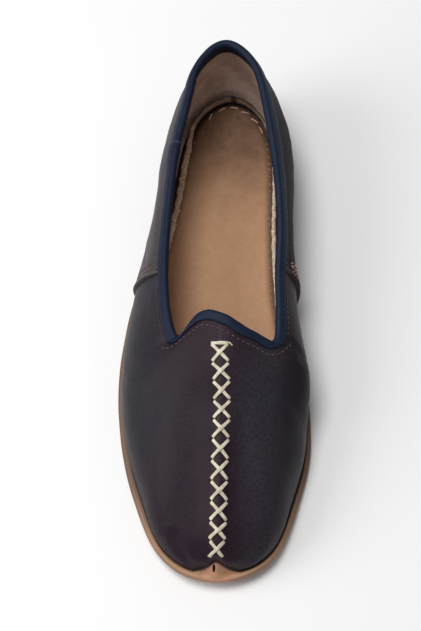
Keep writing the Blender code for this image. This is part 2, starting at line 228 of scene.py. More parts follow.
def editAll(piece, *jobs):
    # runs edit-mode operators on the whole of one mesh
    pickOnly(piece)
    bpy.ops.object.mode_set(mode="EDIT")
    bpy.ops.mesh.select_all(action="SELECT")
    for job, settings in jobs:
        job(**settings)
    bpy.ops.object.mode_set(mode="OBJECT")


def applyModifier(piece, kind, **settings):
    pickOnly(piece)
    modifier = piece.modifiers.new(kind.title(), kind)
    for name, value in settings.items():
        setattr(modifier, name, value)
    bpy.ops.object.modifier_apply(modifier=modifier.name)


def joined(name, pieces):
    bpy.ops.object.select_all(action="DESELECT")
    for piece in pieces:
        piece.select_set(True)
    bpy.context.view_layer.objects.active = pieces[0]
    if len(pieces) > 1:
        bpy.ops.object.join()
    pieces[0].name = pieces[0].data.name = name
    return pieces[0]


def laidGrid(name, rings, closed=True, tags=None):
    # a grid primitive whose corners are laid on rings of points, with tags as numbers at each
    rings = np.asarray(rings, float)
    if closed:
        rings = np.concatenate([rings, rings[:, :1]], axis=1)
    rows, columns = rings.shape[:2]
    cells = {"x_subdivisions": columns - 1, "y_subdivisions": rows - 1}
    piece = added(bpy.ops.mesh.primitive_grid_add, size=1, **cells)
    piece.name = piece.data.name = name
    flat = np.empty(rows * columns * 3)
    piece.data.vertices.foreach_get("co", flat)
    flat = flat.reshape(-1, 3)
    order = np.lexsort((flat[:, 0].round(7), flat[:, 1].round(7)))
    flat[order] = rings.reshape(-1, 3) * mm
    piece.data.vertices.foreach_set("co", flat.ravel())
    for tag, values in (tags or {}).items():
        values = np.broadcast_to(values, (rows, columns - 1 if closed else columns))
        if closed:
            values = np.concatenate([values, values[:, :1]], axis=1)
        kept = np.empty(rows * columns)
        kept[order] = values.ravel()
        piece.data.attributes.new(tag, "FLOAT", "POINT").data.foreach_set("value", kept)
    piece.data.update()
    return piece


def welded(piece, outside=True):
    jobs = [(bpy.ops.mesh.remove_doubles, {"threshold": 2e-6})]
    if outside:
        jobs.append((bpy.ops.mesh.normals_make_consistent, {"inside": False}))
    editAll(piece, *jobs)
    return piece


def smoothed(piece, angle):
    pickOnly(piece)
    bpy.ops.object.shade_smooth_by_angle(angle=math.radians(angle))
    return piece


def stamped(template, place):
    # a copy of a template's mesh, moved by a matrix
    copy = template.copy()
    copy.data = template.data.copy()
    bpy.context.scene.collection.objects.link(copy)
    copy.data.transform(place)
    return copy


def dressed(piece, material, slotName, *nodes):
    if not piece.data.materials:
        piece.data.materials.append(material)
    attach(piece, "root")
    if nodes:
        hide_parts(*nodes)
    return piece


# ---- materials: a thin wrap over sockets, so that shader maths reads as maths ----
class Wire:
    def __init__(self, recipe, socket):
        self.recipe, self.socket = recipe, socket

    def maths(self, operation, first, second=0.0):
        return self.recipe.node("ShaderNodeMath", {"operation": operation}, {0: first, 1: second})

    def __add__(self, other):
        return self.maths("ADD", self, other)

    def __sub__(self, other):
        return self.maths("SUBTRACT", self, other)

    def __rsub__(self, other):
        return self.maths("SUBTRACT", other, self)

    def __mul__(self, other):
        return self.maths("MULTIPLY", self, other)

    __radd__, __rmul__ = __add__, __mul__

    def clipped(self):
        return self.maths("MINIMUM", self.maths("MAXIMUM", self, 0.0), 1.0)

    def between(self, low, high):
        # 0 at low and 1 at high, either way round
        settings = {"interpolation_type": "SMOOTHSTEP"}
        sockets = {"Value": self, "From Min": low, "From Max": high}
        return self.recipe.node("ShaderNodeMapRange", settings, sockets)


class Recipe:
    def __init__(self, name):
        self.material = bpy.data.materials.new(name)
        self.material.use_nodes = True
        self.tree = self.material.node_tree
        self.shader = self.tree.nodes["Principled BSDF"]

    def node(self, kind, settings, sockets, output=0):
        made = self.tree.nodes.new(kind)
        for name, value in settings.items():
            setattr(made, name, value)
        for key, value in sockets.items():
            self.plug(made.inputs[key], value)
        return Wire(self, made.outputs[output])

    def plug(self, socket, value):
        if isinstance(value, Wire):
            self.tree.links.new(value.socket, socket)
        elif isinstance(value, tuple) and len(value) == 3 and socket.type == "RGBA":
            socket.default_value = (*value, 1)
        else:
            socket.default_value = value

    def place(self, scale=(1, 1, 1), move=(0, 0, 0)):
        spot = self.node("ShaderNodeTexCoord", {}, {}, "Object")
        sockets = {"Vector": spot, "Scale": scale, "Location": move}
        return self.node("ShaderNodeMapping", {}, sockets)

    def cloud(self, size, detail=3.0, rough=0.5, spot=None, warp=0.0):
        # noise whose features are about this many millimetres wide
        sockets = {"Scale": 1000 / size, "Detail": detail, "Roughness": rough, "Distortion": warp}
        sockets["Vector"] = spot or self.place()
        return self.node("ShaderNodeTexNoise", {}, sockets, "Fac")

    def cells(self, size, feature="F1"):
        sockets = {"Scale": 1000 / size, "Vector": self.place()}
        return self.node("ShaderNodeTexVoronoi", {"feature": feature}, sockets, "Distance")

    def tag(self, name):
        return self.node("ShaderNodeAttribute", {"attribute_name": name}, {}, "Fac")

    def axes(self, names):
        spot = self.place()
        return [self.node("ShaderNodeSeparateXYZ", {}, {0: spot}, name) for name in names]

    def blend(self, share, first, second):
        return self.node("ShaderNodeMix", {"data_type": "RGBA"}, {0: share, 6: first, 7: second}, 2)

    def layered(self, look, colour, **shares):
        # lays colours of the look over one another, each by its share
        for name, share in shares.items():
            colour = self.blend(share, colour, look[name])
        return colour

    def bump(self, height, depth, strength, under=None):
        sockets = {"Height": height, "Distance": depth * mm, "Strength": strength}
        if under:
            sockets["Normal"] = under
        return self.node("ShaderNodeBump", {}, sockets)

    def finish(self, **sockets):
        for name, value in sockets.items():
            self.plug(self.shader.inputs[name.replace("_", " ")], value)
        return self.material


def waxedLeather():
    look = {
        "aubergine": (0.0178, 0.0058, 0.0146),
        "slateSheen": (0.0172, 0.0170, 0.0232),
        "mottle": (0.028, 0.017, 0.024),
        "quarter": (0.038, 0.030, 0.038),
        "warmPatch": (0.095, 0.070, 0.062),
        "sheen": (0.040, 0.040, 0.050),
        "innerSide": (0.0105, 0.0052, 0.0085),
        "scuff": (0.006, 0.004, 0.005),
        "scuffSpot": (-0.0255, 0.102, 0.040),
        "worn": (0.095, 0.070, 0.066),
        "tucked": (0.004, 0.003, 0.004),
        "pore": (0.006, 0.004, 0.006),
        "grainSize": 1.35,
    }
    r = Recipe("waxedUpperLeather")
    x, y = r.axes("XY")
    quarter = r.tag("quarter")
    # purple down the middle, with a painted slate sheen towards both sides, where the light glances
    # off
    aside = x.maths("ABSOLUTE", x - 0.010) * 23 + (r.cloud(95, 2.0) - 0.5) * 2.2 - 0.05
    slateSheenShare = aside.clipped() * (0.5 + y.between(-0.128, -0.085) * 0.5)
    mottle = r.cloud(21, 4.0, 0.6)
    # a small dark spot on the outer quarter near the binding
    sockets = {0: r.place(), 1: look["scuffSpot"]}
    scuff = r.node("ShaderNodeVectorMath", {"operation": "DISTANCE"}, sockets, 1)
    worn = (r.tag("worn") * (0.55 + r.cloud(6, 3.0) * 0.9)).clipped()
    pebble = 1 - r.cells(look["grainSize"], "SMOOTH_F1")
    colour = r.layered(
        look,
        r.blend(slateSheenShare, look["aubergine"], look["slateSheen"]),
        mottle=mottle.between(0.38, 0.72) * 0.35,
        # painted highlight on the quarter, strongest on the outer side, where the light falls
        quarter=quarter * (x * -7.0 + 0.45).clipped(),
        warmPatch=quarter * y.between(0.070, 0.028) * x.between(-0.026, -0.038) * 0.6,
        sheen=x.between(0.008, 0.027) * x.between(0.044, 0.030) * 0.4,
        # painted shade down the inner side, away from the light
        innerSide=x.between(0.033, 0.046) * 0.55,
        scuff=scuff.between(0.0032, 0.0004) * r.cloud(1.6, 3.0),
        worn=worn,
        # painted shade along the foot at the sole seam and on the vamp under the quarter's cut edge
        tucked=r.tag("tuck") * 0.9,
        pore=pebble.between(0.62, 0.38) * 0.30,
    )
    grain = pebble * 0.7 + r.cloud(0.55, 3.0, 0.65) * 0.45
    folds = r.cloud(7, 2.0, 0.45, r.place((1.0, 0.55, 1.0)), 0.6)
    normal = r.bump(grain, 0.16, 0.8, r.bump(folds, 0.45, 0.3))
    rough = 0.37 + mottle * 0.14 + worn * 0.12 + grain * 0.04
    rough += quarter * x.between(0.0, 0.03) * 0.25
    return r.finish(Base_Color=colour, Roughness=rough, Normal=normal, Specular_IOR_Level=0.16)


def liningLeather():
    look = {
        "dark": (0.460, 0.330, 0.275),
        "pale": (0.740, 0.590, 0.500),
        "upper": (0.600, 0.450, 0.360),
    }
    r = Recipe("upperFleshSide")
    (z,) = r.axes("Z")
    colour = r.blend(r.cloud(16, 4.0, 0.6).between(0.3, 0.75), look["dark"], look["pale"])
    colour = r.blend(z.between(0.036, 0.060) * 0.5, colour, look["upper"])
    arcs = r.cloud(5.0, 3.0, 0.55, r.place((0.35, 0.35, 1.9)), 0.8)
    nap = r.cloud(0.9, 4.0, 0.7) * 0.5 + arcs * 3.2
    return r.finish(Base_Color=colour, Roughness=0.86, Normal=r.bump(nap, 0.16, 0.7))


def navyLeather():
    look = {
        "navy": (0.0040, 0.0086, 0.0270),
        "lit": (0.0080, 0.0165, 0.0385),
        "tucked": (0.003, 0.005, 0.013),
        "cut": (0.075, 0.090, 0.12),
    }
    r = Recipe("navyBindingLeather")
    (x,) = r.axes("X")
    cloud = r.cloud(14, 3.0)
    lit = (cloud.between(0.35, 0.7) * 0.5 + x * 11 + 0.22).clipped()
    colour = r.blend(lit, look["navy"], look["lit"])
    # painted shade at the strip's outer edge and down its inner face
    colour = r.layered(look, colour, tucked=r.tag("tuck") * 0.75, cut=r.tag("cut") * 0.6)
    grain = r.cells(0.75, "SMOOTH_F1") * 0.6 + r.cloud(0.4, 3.0, 0.6) * 0.5
    normal = r.bump(grain, 0.07, 0.6, r.bump(r.cloud(3.4, 2.0), 0.35, 0.35))
    rough = 0.50 + cloud * 0.14
    return r.finish(Base_Color=colour, Roughness=rough, Normal=normal, Specular_IOR_Level=0.18)


def insoleLeather():
    look = {
        "front": (0.500, 0.277, 0.152),
        "heel": (0.108, 0.050, 0.024),
        "blotch": (0.66, 0.43, 0.265),
        "weave": (0.20, 0.11, 0.06),
        "rubbed": (0.30, 0.165, 0.09),
        "border": (0.045, 0.022, 0.014),
    }
    r = Recipe("insoleNaturalLeather")
    (y,) = r.axes("Y")
    # darker towards the heel: partly the leather's own tone, partly painted shade under the back of
    # the collar
    tone = (y.between(0.045, 0.125) + (r.cloud(38, 3.0) - 0.5) * 0.30).clipped()
    blotch = r.cloud(9, 5.0, 0.7).between(0.35, 0.7)
    weave = r.cloud(1.5, 3.0, 0.6, r.place((0.8, 1.1, 1))).between(0.4, 0.75)
    rubbed = r.cloud(15, 3.0, 0.55, r.place((1, 0.5, 1), (0.03, 0.01, 0))).between(0.50, 0.72)
    colour = r.layered(
        look,
        r.blend(tone, look["front"], look["heel"]),
        blotch=blotch * 0.30 * (1 - tone * 0.6),
        weave=weave * 0.09,
        rubbed=rubbed * 0.16,
        # painted shade along the insole's border, where it meets the wall
        border=r.tag("edge") * 0.8,
    )
    normal = r.bump(r.cloud(0.8, 4.0, 0.7) + blotch * 0.35, 0.12, 0.6)
    return r.finish(Base_Color=colour, Roughness=0.72 + blotch * 0.15, Normal=normal)


def fibreBump(r):
    return r.bump(r.cloud(0.8, 4.0, 0.65, r.place((0.5, 0.5, 2.6))), 0.12, 0.6)


def soleLeather():
    look = {
        "edge": (0.098, 0.052, 0.029),
        "toeEdge": (0.275, 0.138, 0.062),
        "streak": (0.120, 0.062, 0.036),
        "rim": (0.50, 0.30, 0.18),
        "tucked": (0.012, 0.007, 0.005),
        "beak": (0.56, 0.27, 0.165),
        "tread": (0.33, 0.205, 0.125),
        "treadScuff": (0.12, 0.080, 0.055),
    }
    r = Recipe("outsoleLeather")
    (y,) = r.axes("Y")
    tuck, tread = r.tag("tuck"), r.tag("tread")
    toward = y.between(-0.085, -0.137)
    streak = r.cloud(3.0, 4.0, 0.6, r.place((0.35, 0.35, 3.2)))
    blush = (r.tag("beak") * (0.35 + r.cloud(4, 3.0) * 0.7)).clipped()
    scuffs = r.cloud(7, 5.0, 0.7, r.place((1, 0.3, 1))).between(0.55, 0.75)
    colour = r.layered(
        look,
        r.blend(toward, look["edge"], look["toeEdge"]),
        streak=streak.between(0.35, 0.7) * 0.5,
        rim=r.tag("rim") * (0.25 + toward * 0.5),
        # painted shade where the sole meets the upper's foot, and under the upper
        tucked=tuck * 0.92,
        beak=blush * 0.78 * (1 - tuck),
        tread=tread * (0.5 + r.cloud(18, 5.0, 0.65) * 0.5),
        treadScuff=tread * scuffs * 0.5,
    )
    rough = 0.50 + streak * 0.15 + tread * 0.2
    return r.finish(Base_Color=colour, Roughness=rough, Normal=fibreBump(r))


def heelLeather():
    look = {
        "dark": (0.120, 0.064, 0.036),
        "pale": (0.215, 0.118, 0.066),
        "tread": (0.060, 0.046, 0.040),
    }
    r = Recipe("heelStackLeather")
    streak = r.cloud(3.0, 4.0, 0.6, r.place((0.3, 0.3, 4.0)))
    colour = r.blend(streak, look["dark"], look["pale"])
    colour = r.blend(r.tag("tread") * 0.8, colour, look["tread"])
    return r.finish(Base_Color=colour, Roughness=0.5 + streak * 0.2, Normal=fibreBump(r))


def rawThong():
    look = {"dark": (0.54, 0.47, 0.34), "pale": (0.82, 0.76, 0.62), "fleck": (0.36, 0.27, 0.16)}
    r = Recipe("creamThong")
    colour = r.blend(r.cloud(3.2, 4.0, 0.6).between(0.3, 0.75), look["dark"], look["pale"])
    colour = r.blend(r.cells(1.1).between(0.25, 0.0) * 0.4, colour, look["fleck"])
    return r.finish(Base_Color=colour, Roughness=0.66, Normal=r.bump(r.cloud(0.5, 3.0), 0.1, 0.6))


def threadLook(name, dark, light, rough=0.55):
    r = Recipe(name)
    twist = r.cloud(1.1, 2.0)
    colour = r.blend(twist.between(0.35, 0.65), dark, light)
    return r.finish(Base_Color=colour, Roughness=rough, Normal=r.bump(twist, 0.08, 0.6))


def rawEdge():
    look = {
        "dark": (0.42, 0.310, 0.220),
        "pale": (0.86, 0.70, 0.54),
        "heel": (0.300, 0.225, 0.180),
        "seam": (0.030, 0.016, 0.012),
        "stain": (0.030, 0.009, 0.009),
    }
    r = Recipe("rawSeamEdge")
    x, y, z = r.axes("XYZ")
    fray = r.cloud(1.6, 5.0, 0.7)
    # a dark seam line at the top of the band, painted shade in the join below it, and a stain on
    # the band at the heel
    seams = z.between(0.0176, 0.0160) + z.between(0.0208, 0.0218) * 0.8
    stain = x.between(0.0060, 0.0076) * x.between(0.0112, 0.0092) * y.between(0.118, 0.126)
    colour = r.layered(
        look,
        r.blend(fray.between(0.35, 0.65), look["dark"], look["pale"]),
        heel=y.between(0.095, 0.135) * 0.7,
        seam=y.between(0.104, 0.118) * seams.clipped(),
        stain=stain * 0.85,
    )
    return r.finish(Base_Color=colour, Roughness=0.9, Normal=r.bump(fray, 0.5, 0.8))


def darkGap():
    return Recipe("slitShadow").finish(Base_Color=(0.008, 0.005, 0.004), Roughness=0.95)


upperLook, fleshLook, navyLook = waxedLeather(), liningLeather(), navyLeather()
insoleLook, soleLook, heelLook = insoleLeather(), soleLeather(), heelLeather()
thongLook, edgeLook, slitLook = rawThong(), rawEdge(), darkGap()
collarThread = threadLook("plumThread", (0.020, 0.010, 0.014), (0.075, 0.040, 0.042))
roseThread = threadLook("roseThread", (0.045, 0.022, 0.024), (0.135, 0.070, 0.062))
seamThread = threadLook("rustThread", (0.120, 0.065, 0.055), (0.360, 0.210, 0.175))
waxThread = threadLook("waxedLinenThread", (0.16, 0.09, 0.05), (0.46, 0.30, 0.17), 0.5)
peachThread = threadLook("peachLinenThread", (0.36, 0.17, 0.12), (0.72, 0.44, 0.35), 0.4)
print("materials ready")

# ---- upper: one skin from the sole seam to the collar, then given its thickness ----
upperPlan = {
    "columnStep": 1.5,
    "rows": 44,
    "unevenness": ((0.30, 19, 0.0), (0.13, 7, 3.0)),  # height, width and seed of the soft lumps
    "ridge": 0.9,  # how high the laced centre line stands
    "lip": {"outerSeam": 0.55, "innerSeam": 1.15},  # the quarter's cut edge curls out
    "stitchRows": (3.4, 6.4),  # how far behind the cut edge the stitches draw the leather in
    "stitchSink": 0.27,
    "seamTuck": 0.8,  # how far the foot turns under at the sole
    "gatherHeight": 0.10,
    "gatherSpacing": 5.2,
}
# the side seams: 1 where the quarter comes before the seam as the line runs, -1 where after it
seamSides = (("outerSeam", 1), ("innerSeam", -1))
# soft troughs: from (rib, mm past it, share up) to the same, half width and height in mm
folds = {
    "outerHollow": (("outerToeCorner", 4, 0.22), ("outerToeCorner", 8, 0.78), 9.0, -0.8),
    "innerHollow": (("innerToeCorner", -4, 0.22), ("innerToeCorner", -8, 0.78), 9.0, -0.7),
    "outerBreak1": (("outerJoint", 4, 0.34), ("outerToes", -2, 0.66), 2.8, -0.20),
    "outerBreak2": (("outerForefoot", 6, 0.30), ("outerToes", 14, 0.60), 3.2, -0.16),
    "outerBreak3": (("outerJoint", -12, 0.36), ("outerForefoot", -6, 0.70), 2.8, -0.18),
    "innerBreak1": (("innerJoint", -2, 0.34), ("innerToes", 4, 0.66), 2.8, -0.22),
    "innerBreak2": (("innerJoint", -14, 0.30), ("innerToes", -12, 0.58), 3.2, -0.18),
    "innerBreak3": (("innerInstep", 2, 0.38), ("innerJoint", 8, 0.72), 2.8, -0.22),
    "outerLobe": (("toe", -8, 0.05), ("outerToeCorner", 4, 0.26), 3.0, -0.55),
    "innerLobe": (("toe", 8, 0.05), ("innerToeCorner", -4, 0.26), 3.0, -0.55),
    "outerCornerPull": (("outerJoint", 0, 0.90), ("outerJoint", 6, 0.70), 2.2, -0.26),
    "innerCornerPull": (("innerInstep", 0, 0.88), ("innerJoint", 6, 0.68), 2.2, -0.26),
    "heelCrease": (("outerHeel", 6, 0.56), ("outerBackCorner", -6, 0.60), 3.2, -0.50),
    "heelCreaseInner": (("innerBackCorner", 2, 0.60), ("innerHeel", -10, 0.54), 3.2, -0.50),
    "outerWaistSlump": (("outerWaistBack", -14, 0.52), ("outerWaist", 8, 0.46), 7.0, -0.45),
    "innerWaistSlump": (("innerWaistBack", 14, 0.52), ("innerWaist", -6, 0.46), 7.0, -0.4),
    "outerSeamPull1": (("outerSeam", -8, 0.62), ("outerSeam", -20, 0.50), 1.6, -0.35),
    "outerSeamPull2": (("outerSeam", -8, 0.40), ("outerSeam", -24, 0.34), 1.8, -0.35),
    "innerSeamPull": (("innerSeam", 8, 0.60), ("innerSeam", 22, 0.48), 1.8, -0.35),
}


def foldPath(start, end):
    places = np.linspace(0, 1, 9)
    first, last = station[start[0]] + start[1], station[end[0]] + end[1]
    return wallPoint(first + (last - first) * places, start[2] + (end[2] - start[2]) * places)


foldPaths = [(foldPath(start, end), width, height) for start, end, width, height in folds.values()]


def distanceTo(path, points):
    nearest = np.full(len(points), 1e9)
    for a, b in zip(path[:-1], path[1:]):
        t = np.clip((points - a) @ (b - a) / ((b - a) @ (b - a)), 0, 1)
        nearest = np.minimum(nearest, np.linalg.norm(points - a - t[:, None] * (b - a), axis=1))
    return nearest


def lumps(points, size, seed=0.0):
    # smooth noise between about -1 and 1, the same at each run
    shift = Vector((seed, seed * 1.7, seed * 0.6))
    return np.array([noise.noise(Vector(point) / size + shift) for point in points])


def reliefAt(points, u, v):
    # how far the finished face stands off the plain wall
    height = sum(rise * lumps(points, size, seed) for rise, size, seed in upperPlan["unevenness"])
    tuck = np.exp(-((v / 0.035) ** 2)) * (1 - smoothStep(0, 0.2, cleftShare(u)))
    height -= upperPlan["seamTuck"] * tuck
    for path, width, depth in foldPaths:
        # a trough with a low ridge beside it
        away = distanceTo(path, points) / width
        height += depth * (np.exp(-(away**2)) - 0.35 * np.exp(-((away - 1.9) ** 2) * 1.6))
    middle = np.exp(-((fromToe(u) * (1.05 - v) / 5.0) ** 2)) * smoothStep(0.04, 0.16, v)
    onVamp = (1 - quarterShare(u)) * (1 - smoothStep(0.9, 1.0, v))
    height += upperPlan["ridge"] * middle * onVamp
    # small gathers where the vamp is pulled round the toe
    beat = u * 2 * math.pi / upperPlan["gatherSpacing"] + 2.2 * np.sin(u / 9)
    gather = np.sin(beat) * np.exp(-((v / 0.07) ** 2)) * smoothStep(120, 60, np.abs(fromToe(u)))
    height += upperPlan["gatherHeight"] * gather
    for seam, side in seamSides:
        behind = (station[seam] - u) * side
        near = (behind > -3) & (behind < 14)
        lip = np.exp(-((behind - 0.8) ** 2) / 2.2) * upperPlan["lip"][seam]
        sink = sum(np.exp(-((behind - row) ** 2) / 0.9) for row in upperPlan["stitchRows"])
        height += np.where(near, lip * quarterShare(u) - sink * upperPlan["stitchSink"], 0)
    # the binding holds the edge of the collar still
    return height * (0.25 + 0.75 * smoothStep(1.0, 0.9, v))


def bindingDepthAt(u, inside=False):
    # narrow at the throat, wider towards the heel
    low = form["bindingDepth"]
    high = form["bindingDepthInside" if inside else "bindingDepthAtHeel"]
    return low + (high - low) * smoothStep(0, 90, ribCurve.at(u)[:, 3])


def bindingShare(u, inside=False, extra=0.0):
    # how far down the rib the binding reaches, as a share of the rib
    edge, below = wallPoint(u, 1.0), wallPoint(u, 0.99)
    pace = np.linalg.norm(edge - below, axis=1) / 0.01
    tangent = unit(wallPoint(u + 0.5, 1.0) - wallPoint(u - 0.5, 1.0))
    crossing = np.linalg.norm(np.cross(unit(edge - below), tangent), axis=1)
    return (bindingDepthAt(u, inside) + extra) / pace / np.clip(crossing, 0.66, 1)


def lapAt(u, v):
    # how far the quarter stands over the vamp
    lap = form["lap"] + (form["lapAtCollar"] - form["lap"]) * smoothStep(0.6, 1, v)
    return quarterShare(u) * lap


def skinPoint(u, v):
    # the upper's finished outer face and its direction
    base, normal = wallPoint(u, v), wallNormal(u, v)
    return base + normal * (lapAt(u, v) + reliefAt(base, u, v))[:, None], normal


def upperColumns():
    # even steps, with fine ones at the two cut edges of the quarter and in the cleft
    places = [np.arange(0, perimeter - 0.7, upperPlan["columnStep"])]
    for seam in ("outerSeam", "innerSeam"):
        places.append(station[seam] + np.linspace(-2.4, 2.4, 25))
    places.append(station["toe"] + np.linspace(-14, 14, 36))
    places = np.sort(np.concatenate(places))
    keep = np.concatenate([[True], np.diff(places) > 0.14])
    return places[keep]


columns = upperColumns()
levels = np.linspace(0, 1, upperPlan["rows"]) ** 1.15
skin, quarterTag, wornTag, shadeTag = [], [], [], []
for level in levels:
    skin.append(skinPoint(columns, np.full(len(columns), level))[0])
    quarterTag.append(quarterShare(columns))
    # pale along the quarter's cut edge and the laced ridge; painted shade on the vamp under the cut
    # edge and along the foot at the sole seam
    worn, shade = np.zeros(len(columns)), np.zeros(len(columns))
    for seam, side in seamSides:
        behind = (station[seam] - columns) * side
        worn += np.exp(-((behind - 0.8) ** 2) / 0.8) * 0.7
        shade += np.exp(-((behind + 0.35) ** 2) / 0.30) * 0.8
    worn += np.exp(-((fromToe(columns) / 3.0) ** 2)) * 0.25 * float(level > 0.1)
    wornTag.append(np.clip(worn, 0, 1))
    shadeTag.append(np.maximum(shade, math.exp(-((level / 0.020) ** 2))))
skinTags = {"quarter": quarterTag, "worn": wornTag, "tuck": shadeTag}
upper = welded(laidGrid("upperVampAndQuarter", skin, tags=skinTags))
upper.data.materials.append(upperLook)
upper.data.materials.append(fleshLook)
skinDepth = {"thickness": form["wall"] * mm, "offset": -1, "material_offset": 1, "use_rim": True}
applyModifier(upper, "SOLIDIFY", **skinDepth)
dressed(smoothed(upper, 50), upperLook, "upper_leather", "upper")
print("upper laid:", len(upper.data.polygons), "faces")


def treeOf(piece):
    places = [vertex.co.copy() for vertex in piece.data.vertices]
    return BVHTree.FromPolygons(places, [list(face.vertices) for face in piece.data.polygons])


upperTree = treeOf(upper)


def dropOn(x, y, tree=upperTree):
    # the top of a piece under a point in plan, and which way it faces
    spot, facing, _, _ = tree.ray_cast(Vector((x * mm, y * mm, 0.2)), Vector((0, 0, -1)))
    return np.array(spot) / mm, np.array(facing)


# ---- collar binding: a navy strip folded over the cut edge ----
bindingPlan = {
    "columnStep": 1.3,
    "leather": 0.75,
    "plump": 0.22,  # the strip stands off a little between its edges
    "pinch": 0.4,  # and its edges are drawn in by the stitches
    "wander": 0.05,
    # laps over the strip before: rib, mm past it, height of the step and length of its slope
    "laps": (("outerHeelFront", 0.7, 0.5, 18), ("outerJoint", 3.4, 0.75, 9)),
}


def bindingLap(u):
    step = np.zeros(len(u))
    for rib, past, height, length in bindingPlan["laps"]:
        run = (u - station[rib] - past + perimeter / 2) % perimeter - perimeter / 2
        step += height * smoothStep(0, 0.3, run) * smoothStep(length, length * 0.3, run)
    return step


def bindingRings(u):
    # round the strip: down its outer leg, over the fold, down its inner leg and back inside it
    wander = 1 + bindingPlan["wander"] * np.sin(u / 7.0 + np.sin(u / 17))
    outside, inside = bindingShare(u) * wander, bindingShare(u, inside=True) * (2 - wander)
    edge, below = wallPoint(u, 1.0), wallPoint(u, 0.985)
    tangent = unit(wallPoint(u + 0.8, 1.0) - wallPoint(u - 0.8, 1.0))
    side = wallNormal(u, np.full(len(u), 0.985))
    crest = unit(np.cross(side, tangent))
    crest *= np.sign(np.sum(crest * (edge - below), axis=1))[:, None]
    lapped = bindingLap(u)
    ripple = 0.07 * lumps(edge, 3.1, 5.0) + 0.10 * lumps(edge, 9.0, 8.0)
    outer, inner = [], []
    for share in (1.0, 0.93, 0.8, 0.6, 0.4, 0.2, 0.0):
        plump = bindingPlan["plump"] * math.sin(math.pi * min(share * 0.95, 1))
        pinch = bindingPlan["pinch"] * smoothStep(0.9, 1.0, share)
        thick = form["gap"] + bindingPlan["leather"] + plump - pinch + ripple
        v = 1 - outside * share
        base, normal = wallPoint(u, v), wallNormal(u, v)
        outer.append(base + normal * (thick + lapped + lapAt(u, v))[:, None])
        v = 1 - inside * share
        base, normal = wallPoint(u, v), wallNormal(u, v)
        inner.append(base - normal * (thick + lapped * 0.4 + form["wall"] + 0.1)[:, None])
    middle = (outer[-1] + inner[-1]) / 2
    half = np.linalg.norm(outer[-1] - inner[-1], axis=1)[:, None] / 2
    fold = []
    for angle in np.linspace(0, 180, 15)[1:-1]:
        turn = math.radians(angle)
        lift = form["gap"] + (half + ripple[:, None]) * math.sin(turn)
        fold.append(middle + side * half * math.cos(turn) + crest * lift)
    hollow = []
    for share, faceSide in ((1.0, -1), (0.5, -1), (0.0, -1), (0.0, 1), (0.5, 1), (1.0, 1)):
        v = 1 - (outside if faceSide > 0 else inside) * share
        base, normal = wallPoint(u, v), wallNormal(u, v)
        away = form["wall"] - 0.1 if faceSide < 0 else 0.1
        hollow.append(base + normal * faceSide * away + (crest * 0.2 if share == 0 else 0))
    # painted shade at the outer edge, where the strip meets the upper, then again from the fold's
    # inner side on, down the strip's inner face
    tuck = [1.0, 0.45, 0.1] + [0.0] * 12 + [0.15, 0.3, 0.45, 0.6, 0.75, 0.85, 0.95] + [1.0] * 11
    return [*outer, *fold, *inner[::-1], *hollow], tuck


lapStarts = [station[rib] + past for rib, past, height, length in bindingPlan["laps"]]
collarPlaces = [np.arange(0, perimeter - 0.4, bindingPlan["columnStep"])]
collarPlaces += [start + np.linspace(-0.1, 0.4, 5) for start in lapStarts]
collarPlaces = np.sort(np.concatenate(collarPlaces))
rings, tuck = bindingRings(collarPlaces)
rings.append(rings[0])
tuck.append(tuck[0])
cut = sum(np.exp(-(((collarPlaces - start) / 0.3) ** 2)) for start in lapStarts)
stripTags = {"tuck": np.array(tuck)[:, None], "cut": cut}
binding = smoothed(welded(laidGrid("collarBindingStrip", rings, tags=stripTags)), 60)
dressed(binding, navyLook, "binding_leather", "collar_binding")
print("binding laid:", len(binding.data.polygons), "faces")

# ---- outsole: burnished edge, pale rim, tread face and the beak drawn up at the toe ----
solePlan = {
    "stations": 90,
    "cleftStations": 24,
    "edgeRound": 1.1,
    "edgeSwell": 0.12,
    "channel": 5.0,  # how far in from the edge the closed stitch channel runs underneath
    "channelDepth": 0.28,
    "beakHollow": 1.0,
    "beakRidge": 1.5,
    "seamDip": 0.35,
    "plugLift": 0.9,  # the sole fills the cleft up to the middle of the wall
    "across": 24,
}


def sideStations(count, cleftCount):
    # places along the seam from toe to heel and home, each with a partner as far along the shoe
    toe, half = station["toe"], form["cleftHalfWidth"]
    cleft = np.linspace(0, half, cleftCount + 1)
    way = np.linspace(0, 1, count + 1)[1:]
    outer = (toe - half) * (1 - (way + (1 - np.cos(math.pi * way)) / 2) / 2)
    innerSide = np.linspace(toe, perimeter, 4000)
    reached = np.maximum.accumulate(ribCurve.at(innerSide)[:, 1])
    inner = np.interp(ribCurve.at(outer[:-1])[:, 1], reached, innerSide)
    return np.concatenate([toe - cleft, outer, inner[::-1], (toe + cleft)[:0:-1]])


def plateAcross(ring, across):
    # rungs between the two sides of a ring, whose stations pair up from the toe to the heel
    half = len(ring) // 2
    left, right = ring[: half + 1], np.vstack([ring[:1], ring[:half - 1:-1]])
    share = np.linspace(0, 1, across + 1)[None, :, None]
    return left[:, None] * (1 - share) + right[:, None] * share


